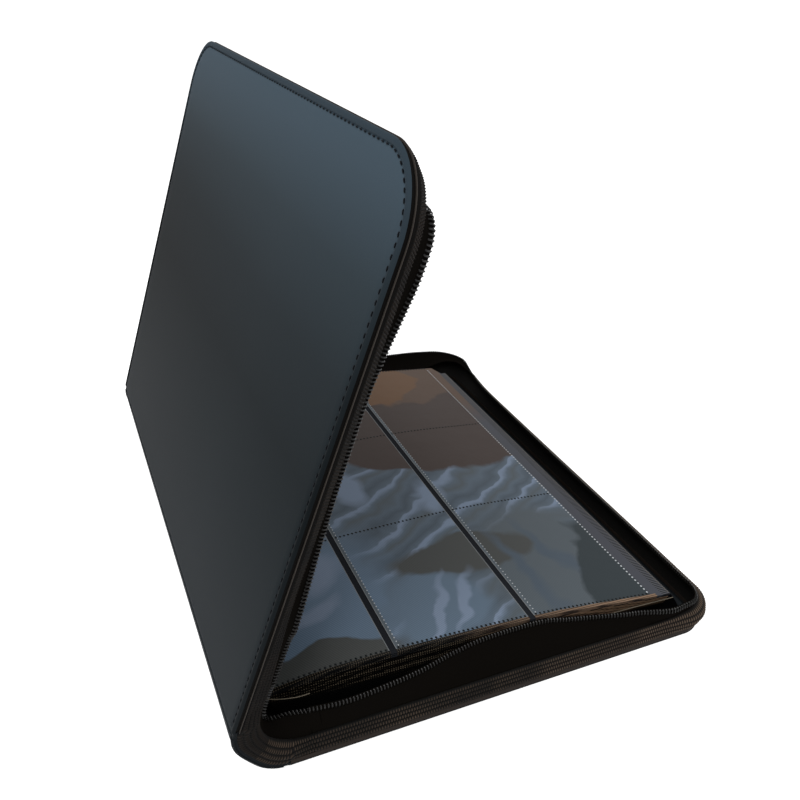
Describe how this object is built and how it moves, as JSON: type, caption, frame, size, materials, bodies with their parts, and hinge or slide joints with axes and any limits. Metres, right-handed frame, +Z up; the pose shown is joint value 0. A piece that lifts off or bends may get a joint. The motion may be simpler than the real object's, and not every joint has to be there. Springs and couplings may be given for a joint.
{
  "type": "zippered card binder",
  "caption": "Soft leather-covered zip-around binder standing half open on its back cover, with side-loading card pocket leaves and a coil zip on three sides.",
  "frame": {"origin": "centre of the back cover's outer face, which lies on the table", "axes": "+X from the spine to the fore edge of the back cover, +Y along the spine, +Z up"},
  "size_m": [0.2721, 0.337, 0.27],
  "materials": {
    "leather": "smooth satin black artificial leather",
    "greyboard": "plain greyboard, hidden inside the covers",
    "lining": "fine black woven lining",
    "band": "black ribbed woven band",
    "tape": "plain black woven zip tape",
    "teeth": "black nylon coil",
    "metal": "black lacquered zinc",
    "backing": "black woven backing of a leaf",
    "film": "clear glossy pocket film over a black backing"
  },
  "bodies": {
    "back_cover": {"back_cover_skin": "leather", "back_cover_board": "greyboard", "back_cover_lining": "lining", "back_gusset_band": "band", "back_zip_tape": "tape", "back_zip_teeth": "teeth", "back_zip_near_stop": "metal"},
    "spine": {"spine_skin": "leather", "spine_board": "greyboard", "spine_lining": "lining", "leaf_binding_strip": "lining", "near_end_gusset": "band", "near_end_tape": "tape", "near_end_chain": "teeth", "far_end_gusset": "band", "far_end_tape": "tape", "far_end_chain": "teeth"},
    "front_cover": {"front_cover_skin": "leather", "front_cover_board": "greyboard", "front_cover_lining": "lining", "front_gusset_band": "band", "front_zip_tape": "tape", "front_zip_teeth": "teeth", "front_zip_near_stop": "metal"},
    "page_block": {"leaf_04": "film", "leaf_05": "film", "leaf_06": "film", "leaf_07": "film", "leaf_08": "film", "leaf_09": "film", "leaf_10": "film", "leaf_11": "film", "leaf_12": "film", "leaf_13": "film", "leaf_14": "film", "leaf_15": "film", "leaf_16": "film", "leaf_17": "film", "leaf_18": "film", "leaf_19": "film", "leaf_20": "film"},
    "third_leaf": {"leaf_03_back_film": "film", "leaf_03_backing": "backing", "leaf_03_front_film": "film"},
    "second_leaf": {"leaf_02_back_film": "film", "leaf_02_backing": "backing", "leaf_02_front_film": "film"},
    "top_leaf": {"leaf_01_back_film": "film", "leaf_01_backing": "backing", "leaf_01_front_film": "film"},
    "slider": {"slider_body": "metal"},
    "tab": {"pull_tab": "metal"}
  },
  "joints": [
    {"name": "spine_hinge", "type": "hinge", "parent": "back_cover", "child": "spine", "pos_m": [-0.123, 0, 0.0019], "axis": [0, -1, 0], "range_deg": [-36.75, 53.25]},
    {"name": "cover_hinge", "type": "hinge", "parent": "spine", "child": "front_cover", "pos_m": [-0.14693, 0, 0.03395], "axis": [0, -1, 0], "range_deg": [-36.75, 53.25]},
    {"name": "page_block_shift", "type": "slide", "parent": "back_cover", "child": "page_block", "axis": [1, 0, 0], "range_m": [-0.0125, 0.0087]},
    {"name": "third_leaf_turn", "type": "hinge", "parent": "page_block", "child": "third_leaf", "pos_m": [-0.12716, 0, 0.0211], "axis": [0, -1, 0], "range_deg": [0, 58]},
    {"name": "second_leaf_turn", "type": "hinge", "parent": "third_leaf", "child": "second_leaf", "pos_m": [-0.12758, 0, 0.0221], "axis": [0, -1, 0], "range_deg": [0, 58]},
    {"name": "top_leaf_turn", "type": "hinge", "parent": "second_leaf", "child": "top_leaf", "pos_m": [-0.128, 0, 0.0231], "axis": [0, -1, 0], "range_deg": [0, 58]},
    {"name": "slider_run", "type": "slide", "parent": "back_cover", "child": "slider", "axis": [1, 0, 0], "range_m": [0, 0.17]},
    {"name": "tab_swing", "type": "hinge", "parent": "slider", "child": "tab", "pos_m": [-0.102, 0.17185, 0.0219], "axis": [0, 0, 1], "range_deg": [0, 170]}
  ],
  "couplings": [
    {"joint": "cover_hinge", "follows": "spine_hinge", "ratio": 1},
    {"joint": "page_block_shift", "follows": "spine_hinge", "m_per_rad": -0.0134}
  ]
}
